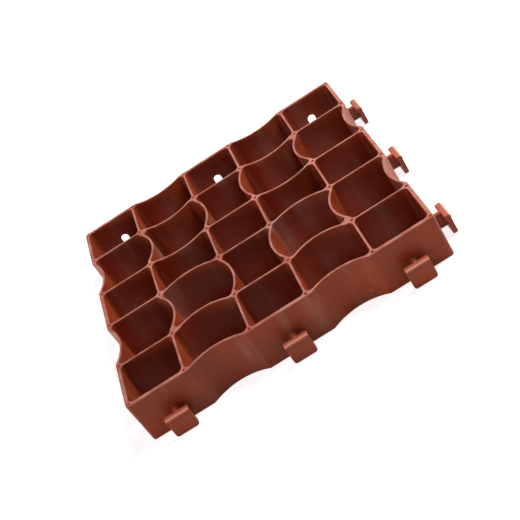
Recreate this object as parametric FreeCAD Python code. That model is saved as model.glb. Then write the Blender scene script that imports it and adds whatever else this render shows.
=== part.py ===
import FreeCAD
import Part
import math
import os

# The whole grid, in millimetres. Three grids laid side by side make a metre.
TILE_SIDE = 333.0
HEIGHT = 50.0
MIDDLE_BAY = 61.0
WAVE_BAY = 71.8
INNER_WALL = 2.2
RIM_WALL = 4.0

# Bowed walls: how far the centre line bows, and the straight run from a node to the kink.
RIM_SAG = 8.2
OUTER_SAG = 9.7
MIDDLE_SAG = 7.5
WAVE_STUB = 6.2

# Upright roundings: the outside of a kink, the corners of the cells and those of the whole grid.
KINK_ROUND = 4.0
CELL_CORNER = 5.5
TILE_CORNER = 4.0

# Small dimples in the top of the nodes, with enough sides to pass for round at their size.
DIMPLE_DIAMETER = 3.5
DIMPLE_DEPTH = 2.0
DIMPLE_SIDES = 12
DIMPLE_INSET = 1.2

# Clips on the front and right walls: a tab with a beaded upper edge, held off the wall by a neck.
CLIP_PITCH = 130.0
CLIP_GAP = 9.0
CLIP_LENGTH = 25.0
BEAD_THICK = 7.0
BEAD_HIGH = 5.5
BEAD_ROUND = 1.8
BEAD_LIP = 0.5
BEAD_TOP = 24.5
TAB_THICK = 5.0
TAB_FOOT = 0.5
TAB_CORNER = 3.0
NECK_WIDE = 6.5
NECK_FOOT = 7.5
NECK_TOP = BEAD_TOP

# Arched notches in the back and left walls take the neck of the next grid's clip.
NOTCH_SIDE_PLAY = 1.25
NOTCH_TOP_PLAY = 1.0

# Centre lines of the walls, the same in both directions, with the rim at both ends.
RIM_LINE = (TILE_SIDE - RIM_WALL) / 2
MIDDLE_LINE = MIDDLE_BAY / 2
OUTER_LINE = MIDDLE_LINE + WAVE_BAY
LINES = (-RIM_LINE, -OUTER_LINE, -MIDDLE_LINE, MIDDLE_LINE, OUTER_LINE, RIM_LINE)
BAYS = range(5)
CLIP_PLACES = (-CLIP_PITCH, 0.0, CLIP_PITCH)

SAGS = {RIM_LINE: RIM_SAG, OUTER_LINE: OUTER_SAG, MIDDLE_LINE: MIDDLE_SAG}
HALF_WAVE = WAVE_BAY / 2 - WAVE_STUB
CLIP_REACH = CLIP_GAP + BEAD_THICK
UP = FreeCAD.Vector(0, 0, 1)


def on_rim(line):
    """True for the four lines round the outside."""
    return abs(line) > OUTER_LINE


def face_level(line, side):
    """Place of a straight wall's face; side is +1 or -1, the way that the face looks."""
    wall = RIM_WALL if on_rim(line) else INNER_WALL
    return line + side * wall / 2


def bowed(line, side, bay):
    """Three arcs of a bowed wall face: a rounded kink, the bow towards the grid's middle, a kink."""
    sag = SAGS[abs(line)]
    line_radius = (HALF_WAVE ** 2 + sag ** 2) / (2 * sag)
    bow = -1 if line > 0 else 1
    level = face_level(line, side)
    middle = (LINES[bay] + LINES[bay + 1]) / 2
    radius = line_radius + bow * side * INNER_WALL / 2
    rise = line_radius - sag + bow * (level - line)
    half = math.sqrt((radius + KINK_ROUND) ** 2 - (rise + KINK_ROUND) ** 2)
    lean = math.atan2(half, rise + KINK_ROUND)

    def kink(way):
        points = []
        for angle in (0, lean / 2, lean):
            u = middle + way * (half - KINK_ROUND * math.sin(angle))
            v = level + bow * KINK_ROUND * (1 - math.cos(angle))
            points.append((u, v))
        return points

    left, right = kink(-1), kink(1)
    top = line + bow * sag + side * INNER_WALL / 2
    return [left, [left[2], (middle, top), right[2]], right[::-1]]


def face_run(line, side, bays, ends):
    """One wall face from end to end: straight pieces of two points, arcs of three."""
    level = face_level(line, side)
    pieces = []
    at = (ends[0], level)
    for bay in bays:
        if bay % 2 == 1:
            arcs = bowed(line, side, bay)
            pieces.append([at, arcs[0][0]])
            pieces += arcs
            at = arcs[-1][-1]
    pieces.append([at, (ends[1], level)])
    return pieces


def edge_of(points):
    """A line through two points or an arc through three."""
    if len(points) == 2:
        return Part.makeLine(points[0], points[1])
    return Part.Arc(points[0], points[1], points[2]).toShape()


def block(cols, rows, look, corner):
    """Upright prism round a block of bays. look is +1 for faces that look in, -1 for out."""
    south, north = LINES[rows[0]], LINES[rows[-1] + 1]
    west, east = LINES[cols[0]], LINES[cols[-1] + 1]
    xs = (face_level(west, look), face_level(east, -look))
    ys = (face_level(south, look), face_level(north, -look))
    pieces = face_run(south, look, cols, xs) + face_run(north, -look, cols, xs)
    across = face_run(west, look, rows, ys) + face_run(east, -look, rows, ys)
    pieces += [[(v, u) for u, v in piece] for piece in across]
    edges = [edge_of([FreeCAD.Vector(x, y, 0) for x, y in piece]) for piece in pieces]
    outline = Part.Face(Part.Wire(Part.__sortEdges__(edges)))
    # The outline is drawn in by the corner radius and let out again, which leaves only round corners.
    rounded = outline.makeOffset2D(-corner).makeOffset2D(corner)
    return rounded.extrude(UP * HEIGHT)


def arch(width, foot, top, near, far):
    """Upright slab with a half-round top, from near to far across the wall."""
    r = width / 2
    a = FreeCAD.Vector(-r, near, foot)
    b = FreeCAD.Vector(-r, near, top - r)
    c = FreeCAD.Vector(0, near, top)
    d = FreeCAD.Vector(r, near, top - r)
    e = FreeCAD.Vector(r, near, foot)
    edges = [edge_of((a, b)), edge_of((b, c, d)), edge_of((d, e)), edge_of((e, a))]
    return Part.Face(Part.Wire(edges)).extrude(FreeCAD.Vector(0, far - near, 0))


def clip():
    """One clip on the front wall, at the middle of the grid."""
    wall = -TILE_SIDE / 2
    tab_out = wall - CLIP_REACH + BEAD_LIP
    tab_high = BEAD_TOP - BEAD_HIGH / 2 - TAB_FOOT
    tab = Part.makeBox(CLIP_LENGTH, TAB_THICK, tab_high)
    tab.translate(FreeCAD.Vector(-CLIP_LENGTH / 2, tab_out, TAB_FOOT))
    feet = []
    for edge in tab.Edges:
        box = edge.BoundBox
        if box.YLength > TAB_THICK / 2 and box.ZMax < TAB_FOOT + 0.01:
            feet.append(edge)
    tab = tab.makeFillet(TAB_CORNER, feet)
    bead = Part.makeBox(CLIP_LENGTH, BEAD_THICK, BEAD_HIGH)
    bead.translate(FreeCAD.Vector(-CLIP_LENGTH / 2, wall - CLIP_REACH, BEAD_TOP - BEAD_HIGH))
    rails = [edge for edge in bead.Edges if edge.BoundBox.XLength > CLIP_LENGTH / 2]
    bead = bead.makeFillet(BEAD_ROUND, rails)
    neck = arch(NECK_WIDE, NECK_FOOT, NECK_TOP, wall + RIM_WALL / 2, tab_out + TAB_THICK / 2)
    return tab.fuse([bead, neck])


def notch():
    """Cutter for one notch in the back wall, at the middle of the grid."""
    width = NECK_WIDE + 2 * NOTCH_SIDE_PLAY
    near = TILE_SIDE / 2 - 2 * RIM_WALL
    far = TILE_SIDE / 2 + RIM_WALL
    return arch(width, -1.0, NECK_TOP + NOTCH_TOP_PLAY, near, far)


def along_two_walls(shape):
    """Copies of a shape at the three places of its wall and of the wall a quarter turn on."""
    copies = []
    for place in CLIP_PLACES:
        first = shape.copy()
        first.translate(FreeCAD.Vector(place, 0, 0))
        second = first.copy()
        second.rotate(FreeCAD.Vector(0, 0, 0), UP, 90)
        copies += [first, second]
    return copies


def dimple(x, y):
    """Cutter for the shallow hole in the top of one node."""
    corners = []
    for step in range(DIMPLE_SIDES + 1):
        turn = 2 * math.pi * step / DIMPLE_SIDES
        at_x = x + DIMPLE_DIAMETER / 2 * math.cos(turn)
        at_y = y + DIMPLE_DIAMETER / 2 * math.sin(turn)
        corners.append(FreeCAD.Vector(at_x, at_y, HEIGHT - DIMPLE_DEPTH))
    return Part.Face(Part.makePolygon(corners)).extrude(UP * 2 * DIMPLE_DEPTH)


def dimples():
    """Cutters for all nodes, with those of the rim set a little towards the middle of the grid."""
    inset = RIM_LINE - DIMPLE_INSET
    places = [max(-inset, min(inset, line)) for line in LINES]
    return [dimple(x, y) for x in places for y in places]


grid = block(BAYS, BAYS, -1, TILE_CORNER)
cells = [block([col], [row], 1, CELL_CORNER) for col in BAYS for row in BAYS]
grid = grid.cut(cells)
grid = grid.cut(dimples() + along_two_walls(notch()))
grid = grid.fuse(along_two_walls(clip())).removeSplitter()
grid = grid.Solids[0] if len(grid.Solids) == 1 else grid

# The clips stand out on two sides only, so the grid is set back to centre the whole piece.
grid.translate(FreeCAD.Vector(-CLIP_REACH / 2, CLIP_REACH / 2, 0))

os.makedirs("parts", exist_ok=True)
grid.exportStep("parts/grid.step")
box = grid.BoundBox
print("solids", len(grid.Solids), "valid", grid.isValid(), "volume cm3", round(grid.Volume / 1000, 2))
print("size", round(box.XLength, 2), round(box.YLength, 2), round(box.ZLength, 2))
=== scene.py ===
# %% [markdown]
# # A grass paver grid in terracotta plastic
#
# The real grid is one injection moulding: thin upright walls, some straight and some bowed, that
# meet at nodes and leave 25 open cells for soil or gravel. This lesson dresses the CAD grid. It
# rounds the sharp edges as a mould does, gives the plastic its skin, and sets up a pale studio.
# The CAD model is loaded first, and its box is kept, because the dressed grid has to stay in it.

# %% Load the frame
import math
import bmesh
import bpy
from mathutils import Matrix, Vector


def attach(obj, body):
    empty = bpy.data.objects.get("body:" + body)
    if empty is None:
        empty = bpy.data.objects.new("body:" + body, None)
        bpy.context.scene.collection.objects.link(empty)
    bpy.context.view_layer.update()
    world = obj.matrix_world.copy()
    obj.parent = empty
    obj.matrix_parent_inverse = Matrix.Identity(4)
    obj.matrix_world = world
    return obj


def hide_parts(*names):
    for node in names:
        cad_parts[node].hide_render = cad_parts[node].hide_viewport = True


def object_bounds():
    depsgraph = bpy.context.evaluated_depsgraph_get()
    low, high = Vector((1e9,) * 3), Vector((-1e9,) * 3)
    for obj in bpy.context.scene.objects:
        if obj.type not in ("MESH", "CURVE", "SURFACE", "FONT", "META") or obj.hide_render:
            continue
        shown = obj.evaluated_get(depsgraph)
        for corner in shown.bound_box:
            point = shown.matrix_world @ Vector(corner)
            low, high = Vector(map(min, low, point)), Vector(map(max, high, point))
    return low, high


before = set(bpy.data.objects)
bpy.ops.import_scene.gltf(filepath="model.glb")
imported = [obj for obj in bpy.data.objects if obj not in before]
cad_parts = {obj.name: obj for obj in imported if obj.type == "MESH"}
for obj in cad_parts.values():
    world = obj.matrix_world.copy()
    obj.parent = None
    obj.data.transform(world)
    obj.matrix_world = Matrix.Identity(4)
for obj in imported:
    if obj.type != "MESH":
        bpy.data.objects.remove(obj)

cad_box = [[round(value, 5) for value in corner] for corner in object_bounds()]
cad_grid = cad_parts["grid"]
print("CAD box", cad_box, "triangles", len(cad_grid.data.polygons))

# %% [markdown]
# ## The moulded walls
#
# A mould leaves no knife edges: every lip of the real grid has a small round that catches the
# light as a pale line. The walls could be modelled again from nothing, but the CAD mesh already has
# every bow, clip and dimple in the right place, so a copy of it is the better start. The copy is
# loose triangles. They are merged, flat stretches of wall are cleaned of needless edges, and then
# each edge that turns sharply is bevelled.

# %% Merge a copy of the CAD grid
MERGE_DISTANCE = 0.000004
UPRIGHT_LIMIT = 0.5
FLAT_TURN = math.radians(0.5)


def on_walls(edge):
    """True where all faces at an edge stand upright."""
    return all(abs(face.normal.z) < UPRIGHT_LIMIT for face in edge.link_faces)


shell = bmesh.new()
shell.from_mesh(cad_grid.data)
bmesh.ops.remove_doubles(shell, verts=shell.verts, dist=MERGE_DISTANCE)
wall_edges = [edge for edge in shell.edges if on_walls(edge)]
bmesh.ops.dissolve_limit(
    shell, angle_limit=FLAT_TURN, use_dissolve_boundaries=False, verts=[], edges=wall_edges)
print("merged", len(shell.verts), "points,", len(shell.faces), "faces")

# %% Round the sharp edges
EDGE_ROUND = 0.00035
ROUND_STEPS = 2
SHARP_TURN = math.radians(40)


def is_sharp(edge):
    """True where two faces meet at a sharp turn."""
    return edge.is_manifold and edge.calc_face_angle() > SHARP_TURN


sharp_edges = [edge for edge in shell.edges if is_sharp(edge)]
bmesh.ops.bevel(
    shell, geom=sharp_edges, offset=EDGE_ROUND, offset_type="OFFSET", affect="EDGES",
    segments=ROUND_STEPS, profile=0.5, material=-1, clamp_overlap=False, loop_slide=False)
print("rounded", len(sharp_edges), "edges, now", len(shell.faces), "faces")

# %% [markdown]
# ## Dimples
#
# Each node has a small blind hole in its top, where a pin pushed the part out of the mould. Its
# inside is painted a light red, painted light that lifts the shade in the hole, so it shows as a
# soft mark and not as a black dot. A second material could do that, but one moulding is better kept
# to one material. Height alone can't tell the inside of a dimple from a wall, so the faces in there
# get an attribute that the material reads.

# %% Mark the faces in the dimples
LIP_TOP = cad_box[1][2]
DIMPLE_DEPTH = 0.002
DEPTH_PLAY = 0.0005

dimple_mark = shell.faces.layers.float.new("dimple")
for face in shell.faces:
    depth = LIP_TOP - min(vert.co.z for vert in face.verts)
    face[dimple_mark] = float(DEPTH_PLAY < depth < DIMPLE_DEPTH + DEPTH_PLAY)
print("faces in dimples", int(sum(face[dimple_mark] for face in shell.faces)))

# %% [markdown]
# ## Smooth shading
#
# The bows are many narrow flat strips. Smooth shading blends them, but by itself it also bends the
# light on the large flat faces near each rounded edge. Weighted normals cure that: large faces
# count for more than the narrow rounds beside them.

# %% Make the grid an object
grid_mesh = bpy.data.meshes.new("grid_moulding")
shell.to_mesh(grid_mesh)
shell.free()
grid_mesh.shade_smooth()
grid = bpy.data.objects.new("grid_moulding", grid_mesh)
bpy.context.scene.collection.objects.link(grid)
weighted = grid.modifiers.new("weighted normals", "WEIGHTED_NORMAL")
weighted.mode = "FACE_AREA"
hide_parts("grid")
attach(grid, "root")
print("grid moulding", len(grid_mesh.polygons), "faces")

# %% [markdown]
# ## Helpers for node trees
#
# A material is a tree of nodes. Code that makes nodes and links one by one hides what the tree
# works out, so most helpers here add one node, feed it and return what it puts out. They can then
# be put inside each other, as in a formula. What feeds an input is either another socket, which is
# linked, or a number or colour, which is set on the input itself.

# %% Feed, sums and ramps
def feed(tree, value, socket):
    """Links a socket to an input, or sets a number or colour on it."""
    if isinstance(value, bpy.types.NodeSocket):
        tree.links.new(value, socket)
    else:
        socket.default_value = value


def sums(tree, operation, first, second=None):
    """Result of an operation on one or two values."""
    node = tree.nodes.new("ShaderNodeMath")
    node.operation = operation
    feed(tree, first, node.inputs[0])
    if second is not None:
        feed(tree, second, node.inputs[1])
    return node.outputs["Value"]


def ramp(tree, value, low, high, to_low=0.0, to_high=1.0, curve="SMOOTHSTEP"):
    """Goes from to_low to to_high while the value goes from low to high."""
    node = tree.nodes.new("ShaderNodeMapRange")
    node.interpolation_type = curve
    names = ("Value", "From Min", "From Max", "To Min", "To Max")
    for name, given in zip(names, (value, low, high, to_low, to_high)):
        feed(tree, given, node.inputs[name])
    return node.outputs["Result"]


print("helpers", feed.__name__, sums.__name__, ramp.__name__)

# %% Places, noises and groups
def mapped(tree, place, change, amount):
    """A place after a change, which is Location or Scale."""
    node = tree.nodes.new("ShaderNodeMapping")
    feed(tree, place, node.inputs["Vector"])
    feed(tree, amount, node.inputs[change])
    return node.outputs["Vector"]


def axes_of(tree, place):
    """X, Y and Z of a place."""
    node = tree.nodes.new("ShaderNodeSeparateXYZ")
    feed(tree, place, node.inputs["Vector"])
    return node.outputs


def noise(tree, place, scale, detail, roughness=0.5):
    """A soft random value over the surface, about a half on average."""
    node = tree.nodes.new("ShaderNodeTexNoise")
    names = ("Vector", "Scale", "Detail", "Roughness")
    for name, given in zip(names, (place, scale, detail, roughness)):
        feed(tree, given, node.inputs[name])
    return node.outputs["Fac"]


def new_group(name, outputs):
    """An empty node group that turns a place into values: its tree, place and outputs."""
    tree = bpy.data.node_groups.new(name, "ShaderNodeTree")
    tree.interface.new_socket("Place", in_out="INPUT", socket_type="NodeSocketVector")
    for output in outputs:
        tree.interface.new_socket(output, in_out="OUTPUT", socket_type="NodeSocketFloat")
    start = tree.nodes.new("NodeGroupInput")
    end = tree.nodes.new("NodeGroupOutput")
    return tree, start.outputs["Place"], end.inputs


print("helpers", mapped.__name__, axes_of.__name__, noise.__name__, new_group.__name__)

# %% [markdown]
# ## The skin of the plastic
#
# The plastic is coloured through, a red brown, and is made from mixed scrap, so the colour drifts
# a little over a hand's width. The mould leaves a fine grain, and pulling the part out leaves faint
# upright streaks on the walls. A pale bloom is drawn out the same way, and a few specks of dust
# cling to the plastic. A painted image would need every wall unwrapped, so noises make all this.
# They belong together, so they are one node group with a height for the bump, a roughness, a drift
# of colour and two masks as its outputs. The material feeds it Object coordinates, which keep the
# pattern still when the grid moves.

# %% Group: grain and streaks of the skin
GRAIN_SCALE = 1800.0
STREAK_SCALE = 420.0
STREAK_STRETCH = (1.0, 1.0, 0.03)
STREAK_HEIGHT = 0.6
FINE_DETAIL = 2.0

skin_values = ("Height", "Roughness", "Drift", "Bloom", "Dust")
skin_group, place, skin_out = new_group("moulded_skin", skin_values)
grain = noise(skin_group, place, GRAIN_SCALE, FINE_DETAIL)
drawn_place = mapped(skin_group, place, "Scale", STREAK_STRETCH)
streaks = noise(skin_group, drawn_place, STREAK_SCALE, FINE_DETAIL)
streak_height = sums(skin_group, "MULTIPLY", streaks, STREAK_HEIGHT)
feed(skin_group, sums(skin_group, "ADD", grain, streak_height), skin_out["Height"])
print("grain and streaks", len(skin_group.nodes), "nodes")

# %% Group: drift and roughness of the skin
DRIFT_SCALE = 16.0
DRIFT_ROUGHNESS = 0.55
DRIFT_RANGE = (0.3, 0.7)
GLOSS_RANGE = (0.6, 1.4)
ROUGHNESS_RANGE = (0.34, 0.50)
BROAD_DETAIL = 3.0

drift = noise(skin_group, place, DRIFT_SCALE, BROAD_DETAIL, DRIFT_ROUGHNESS)
feed(skin_group, ramp(skin_group, drift, *DRIFT_RANGE), skin_out["Drift"])
gloss = sums(skin_group, "ADD", streaks, drift)
roughness = ramp(skin_group, gloss, *GLOSS_RANGE, *ROUGHNESS_RANGE)
feed(skin_group, roughness, skin_out["Roughness"])
print("roughness from", *ROUGHNESS_RANGE)

# %% Group: bloom and dust of the skin
HAZE_SCALE = 45.0
HAZE_STRETCH = (1.0, 1.0, 0.2)
BLOOM_RANGE = (0.50, 0.70)
BLOOM_SHARE = 0.6
MOTE_SCALE = 240.0
MOTE_DETAIL = 1.0
DUST_RANGE = (0.775, 0.81)
DUST_SHARE = 0.6

haze_place = mapped(skin_group, place, "Scale", HAZE_STRETCH)
haze = noise(skin_group, haze_place, HAZE_SCALE, BROAD_DETAIL)
feed(skin_group, ramp(skin_group, haze, *BLOOM_RANGE, 0.0, BLOOM_SHARE), skin_out["Bloom"])
motes = noise(skin_group, place, MOTE_SCALE, MOTE_DETAIL)
feed(skin_group, ramp(skin_group, motes, *DUST_RANGE, 0.0, DUST_SHARE), skin_out["Dust"])
print("group", skin_group.name, len(skin_group.nodes), "nodes")

# %% [markdown]
# ## Rubbed lips with painted sheen
#
# The top lips are what rubs against the next grid in a stack, so they are a little paler than the
# walls, with light specks where the plastic is scuffed. The pale tone is partly a painted sheen,
# the shine that light from above gives the tops. They could be picked out face by face, but
# a mask from the height above the ground finds them too, and two noises break it up.

# %% Group: rubbed lips with painted sheen
LIP_START = LIP_TOP - 0.0012
LIP_FULL = LIP_TOP - 0.0002
PATCH_SCALE = 60.0
PATCH_RANGE = (0.35, 0.65)
PATCH_SHARES = (0.35, 1.0)
SPECK_SCALE = 480.0
SPECK_ROUGHNESS = 0.6
SPECK_RANGE = (0.62, 0.74)

lip_group, place, lip_out = new_group("rubbed_and_sheen_lips", ("Rubbed_And_Sheen", "Scuffed"))
# Partly painted sheen: the paler top of every wall is rubbing and also stands in for the shine of
# light on it.
lip = ramp(lip_group, axes_of(lip_group, place)["Z"], LIP_START, LIP_FULL)
patches = noise(lip_group, place, PATCH_SCALE, BROAD_DETAIL)
patch_mask = ramp(lip_group, patches, *PATCH_RANGE, *PATCH_SHARES)
rubbed_and_sheen = sums(lip_group, "MULTIPLY", lip, patch_mask)
feed(lip_group, rubbed_and_sheen, lip_out["Rubbed_And_Sheen"])
specks = noise(lip_group, place, SPECK_SCALE, FINE_DETAIL, SPECK_ROUGHNESS)
speck_mask = ramp(lip_group, specks, *SPECK_RANGE)
feed(lip_group, sums(lip_group, "MULTIPLY", rubbed_and_sheen, speck_mask), lip_out["Scuffed"])
print("group", lip_group.name, len(lip_group.nodes), "nodes")

# %% [markdown]
# ## Painted light on the clips
#
# The upper outer edge of each clip's bead is painted paler, a painted highlight where its round
# catches the light, and the tops of bead and neck a little less. A painted shadow lies in the step
# under the bead.
# This could be painted clip by clip, but masks from the height and from the way outwards find all
# six at once. Only the clips stand out to the front and to the right, so the larger of those two
# ways tells a clip from a wall.

# %% Group: painted highlights on beads and necks
# Painted highlight: the bead's upper outer edge, and more weakly the bead and neck tops, are
# painted paler where light catches them.
BEAD_TOP = 0.0245
BEAD_OUT = cad_box[1][0]
EDGE_HEIGHTS = (BEAD_TOP - 0.0024, BEAD_TOP - 0.0010)
EDGE_WAYS = (BEAD_OUT - 0.0030, BEAD_OUT - 0.0010)
CLIP_REACH = 0.016
WALL_OUT = BEAD_OUT - CLIP_REACH
TOP_HEIGHTS = (BEAD_TOP - 0.0008, BEAD_TOP - 0.0002)
TOP_WAYS = (WALL_OUT + 0.0010, WALL_OUT + 0.0020)
TOP_HIGHLIGHT_SHARE = 0.25

clip_group, place, clip_out = new_group("clip_highlights_and_shadow", ("Bead_Highlight", "Step_Shadow"))
axes = axes_of(clip_group, place)
to_front = sums(clip_group, "MULTIPLY", axes["Y"], -1.0)
outwards = sums(clip_group, "MAXIMUM", axes["X"], to_front)
edge_high = ramp(clip_group, axes["Z"], *EDGE_HEIGHTS)
edge_out = ramp(clip_group, outwards, *EDGE_WAYS)
bead_edge_highlight = sums(clip_group, "MULTIPLY", edge_out, edge_high)
top_high = ramp(clip_group, axes["Z"], *TOP_HEIGHTS, 0.0, TOP_HIGHLIGHT_SHARE)
top_out = ramp(clip_group, outwards, *TOP_WAYS)
top_highlight = sums(clip_group, "MULTIPLY", top_out, top_high)
feed(clip_group, sums(clip_group, "MAXIMUM", bead_edge_highlight, top_highlight), clip_out["Bead_Highlight"])
print("beads worn", BEAD_TOP, "m above the ground")

# %% Group: painted shadow under the beads
# Painted shadow: a dark line is painted along the step under each bead, where its lip shades the
# tab.
STEP_HEIGHT = BEAD_TOP - 0.0055
STEP_HALF = 0.0009
STEP_WAYS = (BEAD_OUT - 0.0030, BEAD_OUT - 0.0020)

from_step = sums(clip_group, "SUBTRACT", axes["Z"], STEP_HEIGHT)
off_step = sums(clip_group, "ABSOLUTE", from_step)
step_shadow_line = ramp(clip_group, off_step, 0.0, STEP_HALF, 1.0, 0.0)
step_out = ramp(clip_group, outwards, *STEP_WAYS)
feed(clip_group, sums(clip_group, "MULTIPLY", step_out, step_shadow_line), clip_out["Step_Shadow"])
print("group", clip_group.name, len(clip_group.nodes), "nodes")

# %% [markdown]
# ## The terracotta material
#
# The base colour drifts between a browner and a redder tone. Over it lie the bloom, the rubbed
# lips with their painted sheen, the painted light in the dimples, the painted highlights on the
# beads with a painted shadow under them, and last the scuffs and specks. Each is one colour mixed
# in by its mask. Roughness and bump come from the skin group, so that the sheen on a bow is broken
# up as on the real walls, and isn't a clean mirror band.

# %% Mixing colours
def colour_socket(sockets, name):
    """The colour socket of that name, as a Mix node has others of the same name."""
    return next(socket for socket in sockets if socket.name == name and socket.type == "RGBA")


def tinted(tree, mask, under, over):
    """One colour, turned into another where the mask is."""
    node = tree.nodes.new("ShaderNodeMix")
    node.data_type = "RGBA"
    feed(tree, mask, node.inputs["Factor"])
    feed(tree, under, colour_socket(node.inputs, "A"))
    feed(tree, over, colour_socket(node.inputs, "B"))
    return colour_socket(node.outputs, "Result")


def placed(tree, group, place):
    """The outputs of a node group in a material."""
    node = tree.nodes.new("ShaderNodeGroup")
    node.node_tree = group
    feed(tree, place, node.inputs["Place"])
    return node.outputs


print("helpers", colour_socket.__name__, tinted.__name__, placed.__name__)

# %% Terracotta: layers of colour
BROWN_TONE = (0.25, 0.043, 0.014, 1.0)
RED_TONE = (0.35, 0.050, 0.014, 1.0)
BLOOM_TONE = (0.36, 0.15, 0.10, 1.0)
# Rubbed lips, partly a painted sheen for the shine on the tops.
RUBBED_AND_SHEEN_TONE = (0.50, 0.19, 0.14, 1.0)
# Painted light: the inside of each dimple is painted a light red to lift its shade.
DIMPLE_LIGHT_TONE = (0.72, 0.20, 0.12, 1.0)
# Painted highlight on the bead edges and on the bead and neck tops.
BEAD_HIGHLIGHT_TONE = (0.74, 0.27, 0.19, 1.0)
# Painted shadow in the step under each bead.
STEP_SHADOW_TONE = (0.12, 0.025, 0.010, 1.0)
SCUFF_TONE = (0.68, 0.38, 0.32, 1.0)

terracotta = bpy.data.materials.new("terracotta_plastic")
terracotta.use_nodes = True
tree = terracotta.node_tree
plastic = tree.nodes["Principled BSDF"]
place = tree.nodes.new("ShaderNodeTexCoord").outputs["Object"]
skin = placed(tree, skin_group, place)
lips = placed(tree, lip_group, place)
clips = placed(tree, clip_group, place)
dimple = tree.nodes.new("ShaderNodeAttribute")
dimple.attribute_name = "dimple"

# Layers: bloom, rubbed lips with painted sheen, painted light in the dimples, painted bead
# highlights, painted shadow under the beads, then scuffs and dust.
layers = (
    (skin["Bloom"], BLOOM_TONE),
    (lips["Rubbed_And_Sheen"], RUBBED_AND_SHEEN_TONE),
    (dimple.outputs["Fac"], DIMPLE_LIGHT_TONE),
    (clips["Bead_Highlight"], BEAD_HIGHLIGHT_TONE),
    (clips["Step_Shadow"], STEP_SHADOW_TONE),
    (sums(tree, "MAXIMUM", lips["Scuffed"], skin["Dust"]), SCUFF_TONE))
tone = tinted(tree, skin["Drift"], BROWN_TONE, RED_TONE)
for mask, layer_tone in layers:
    tone = tinted(tree, mask, tone, layer_tone)
feed(tree, tone, plastic.inputs["Base Color"])
grid_mesh.materials.append(terracotta)
print("material", terracotta.name, "with", len(layers), "layers")

# %% Terracotta: sheen and bump
SHEEN_LEVEL = 0.2
BUMP_STRENGTH = 0.35
BUMP_DISTANCE = 0.00012

feed(tree, skin["Roughness"], plastic.inputs["Roughness"])
plastic.inputs["Specular IOR Level"].default_value = SHEEN_LEVEL
bump = tree.nodes.new("ShaderNodeBump")
bump.inputs["Strength"].default_value = BUMP_STRENGTH
bump.inputs["Distance"].default_value = BUMP_DISTANCE
feed(tree, skin["Height"], bump.inputs["Height"])
feed(tree, bump.outputs["Normal"], plastic.inputs["Normal"])
print("material", terracotta.name, len(tree.nodes), "nodes")

# %% [markdown]
# ## The studio floor
#
# The grid lies on a white sweep. The floor has to look white in the picture without throwing too
# much light back into the cells, so its material is lifted only for the rays that come straight
# from the camera, from a reflection or through glass. The shadow still shows on it. The lift stops
# at the rim, whose bows it follows, so the ground in the cells is lit by the lamps and sky alone.

# %% Floor
FLOOR_SIZE = 12.0
FLOOR_DROP = 0.0002

floor_mesh = bpy.data.meshes.new("floor")
sweep = bmesh.new()
bmesh.ops.create_grid(sweep, x_segments=1, y_segments=1, size=FLOOR_SIZE / 2)
sweep.to_mesh(floor_mesh)
sweep.free()
floor = bpy.data.objects.new("floor", floor_mesh)
floor.location.z = -FLOOR_DROP
bpy.context.scene.collection.objects.link(floor)
print("floor", FLOOR_SIZE, "m wide")

# %% Distance to the bowed rim
BOW_PLACE = 0.0664
BOW_HALF = 0.0297
BOW_SAG = 0.0082

paper = bpy.data.materials.new("white_paper")
paper.use_nodes = True
tree = paper.node_tree
spot = tree.nodes.new("ShaderNodeTexCoord").outputs["Object"]
centred = mapped(tree, spot, "Location", (CLIP_REACH / 2, -CLIP_REACH / 2, 0.0))
sides = axes_of(tree, centred)
lengths = [sums(tree, "ABSOLUTE", sides[axis]) for axis in ("X", "Y")]
reach = sums(tree, "MAXIMUM", *lengths)
along = sums(tree, "MINIMUM", *lengths)
bow_share = sums(tree, "DIVIDE", sums(tree, "SUBTRACT", along, BOW_PLACE), BOW_HALF)
bow_square = sums(tree, "MULTIPLY", bow_share, bow_share)
bow_depth = ramp(tree, bow_square, 0.0, 1.0, BOW_SAG, 0.0, curve="LINEAR")
rim_reach = sums(tree, "ADD", reach, bow_depth)
print("rim bows by", BOW_SAG, "m")

# %% How far the floor is lifted
FLOOR_LIFT = 0.82
RIM_LINE = 0.1645
RIM_HALF = 0.0008
FAR_LIFT = 1.0
FAR_START = 0.25
FAR_END = 1.6


def seen_rays(tree):
    """One for a ray from the camera, from a reflection or through glass, else zero."""
    ray = tree.nodes.new("ShaderNodeLightPath").outputs
    mirrored = sums(tree, "MAXIMUM", ray["Is Glossy Ray"], ray["Is Transmission Ray"])
    return sums(tree, "MAXIMUM", ray["Is Camera Ray"], mirrored)


outside = ramp(tree, rim_reach, RIM_LINE - RIM_HALF, RIM_LINE + RIM_HALF, 0.0, FLOOR_LIFT)
far = ramp(tree, reach, FAR_START, FAR_END, 0.0, FAR_LIFT - FLOOR_LIFT)
lift_level = sums(tree, "MULTIPLY", seen_rays(tree), sums(tree, "ADD", outside, far))
print("floor lifted by", FLOOR_LIFT, "near the grid and", FAR_LIFT, "far off")

# %% White paper
FLOOR_TONE = (0.80, 0.80, 0.80, 1.0)

tree.nodes.remove(tree.nodes["Principled BSDF"])
matt = tree.nodes.new("ShaderNodeBsdfDiffuse")
matt.inputs["Color"].default_value = FLOOR_TONE
lift = tree.nodes.new("ShaderNodeEmission")
feed(tree, lift_level, lift.inputs["Strength"])
both = tree.nodes.new("ShaderNodeAddShader")
feed(tree, matt.outputs["BSDF"], both.inputs[0])
feed(tree, lift.outputs["Emission"], both.inputs[1])
feed(tree, both.outputs["Shader"], tree.nodes["Material Output"].inputs["Surface"])
floor_mesh.materials.append(paper)
print("material", paper.name, len(tree.nodes), "nodes")

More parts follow.
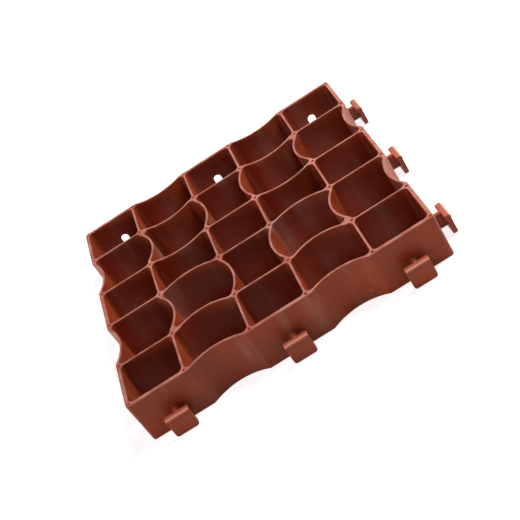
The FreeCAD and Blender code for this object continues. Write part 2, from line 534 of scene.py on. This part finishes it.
# %% [markdown]
# ## Sky and lamps
#
# Outdoors such a grid is lit by the whole sky, but in a studio most of the light comes from one
# soft lamp, and that gives the cells their dark sides. Here a softbox stands high on the right, a
# long low card on the left lights the front walls, and a weak white sky fills the rest. The rays
# that see the background get the sky at full white instead.

# %% Sky
SKY_TONE = (1.0, 1.0, 1.0, 1.0)
SKY_STRENGTH = 0.12
SKY_SEEN = 1.0

sky = bpy.data.worlds.new("studio_sky")
sky.use_nodes = True
tree = sky.node_tree
glow = tree.nodes["Background"]
glow.inputs["Color"].default_value = SKY_TONE
sky_level = ramp(tree, seen_rays(tree), 0.0, 1.0, SKY_STRENGTH, SKY_SEEN, curve="LINEAR")
feed(tree, sky_level, glow.inputs["Strength"])
bpy.context.scene.world = sky
print("sky", sky.name, "lights with", SKY_STRENGTH)

# %% Lamps
KEY_POWER = 22.0
KEY_PLACE = (0.7, 0.25, 1.15)
KEY_SIZE = (0.6, 0.6)
CARD_POWER = 8.0
CARD_PLACE = (-1.5, -0.8, 0.25)
CARD_SIZE = (1.2, 0.3)


def softbox(name, size, power, place):
    """An area lamp that looks at the origin."""
    lamp_data = bpy.data.lights.new(name, "AREA")
    lamp_data.shape = "RECTANGLE"
    lamp_data.size, lamp_data.size_y = size
    lamp_data.energy = power
    lamp = bpy.data.objects.new(name, lamp_data)
    lamp.location = place
    lamp.rotation_euler = (-lamp.location).to_track_quat("-Z", "Y").to_euler()
    bpy.context.scene.collection.objects.link(lamp)
    return lamp


key = softbox("key_softbox", KEY_SIZE, KEY_POWER, KEY_PLACE)
card = softbox("front_card", CARD_SIZE, CARD_POWER, CARD_PLACE)
print("lamps", key.name, "and", card.name)

# %% [markdown]
# ## The camera
#
# The photograph looks down on the grid from the front and is turned in its frame. A tracking
# constraint would keep the camera upright, so three directions set it instead: back, from the grid
# to the camera, and right and down in the picture. They are found for an upright camera first, then
# right and down are turned by the roll.

# %% Directions of the camera
VIEW_AZIMUTH = math.radians(5.0)
VIEW_ELEVATION = math.radians(33.3)
VIEW_ROLL = math.radians(-35.0)
UP = Vector((0.0, 0.0, 1.0))

back = Vector((
    math.sin(VIEW_AZIMUTH) * math.cos(VIEW_ELEVATION),
    -math.cos(VIEW_AZIMUTH) * math.cos(VIEW_ELEVATION),
    math.sin(VIEW_ELEVATION)))
level_right = UP.cross(back).normalized()
level_down = level_right.cross(back)
right = math.cos(VIEW_ROLL) * level_right - math.sin(VIEW_ROLL) * level_down
down = math.sin(VIEW_ROLL) * level_right + math.cos(VIEW_ROLL) * level_down
print("camera looks from", [round(value, 3) for value in back])

# %% Camera
PICTURE_PIXELS = 520.0
FOCAL_PIXELS = 1110.0
SENSOR_WIDTH = 36.0
VIEW_DISTANCE = 1.150
AIM_RIGHT = -0.0240
AIM_DOWN = -0.0345

top_middle = Vector((-CLIP_REACH / 2, CLIP_REACH / 2, LIP_TOP))
eye = top_middle + VIEW_DISTANCE * back - AIM_RIGHT * right - AIM_DOWN * down
turn = Matrix((right, -down, back)).transposed().to_4x4()

camera_data = bpy.data.cameras.new("camera")
camera_data.sensor_width = SENSOR_WIDTH
camera_data.lens = FOCAL_PIXELS / PICTURE_PIXELS * SENSOR_WIDTH
camera = bpy.data.objects.new("camera", camera_data)
camera.matrix_world = Matrix.Translation(eye) @ turn
bpy.context.scene.collection.objects.link(camera)
bpy.context.scene.camera = camera
bpy.context.scene.view_settings.view_transform = "Standard"
print("camera at", [round(value, 3) for value in eye])
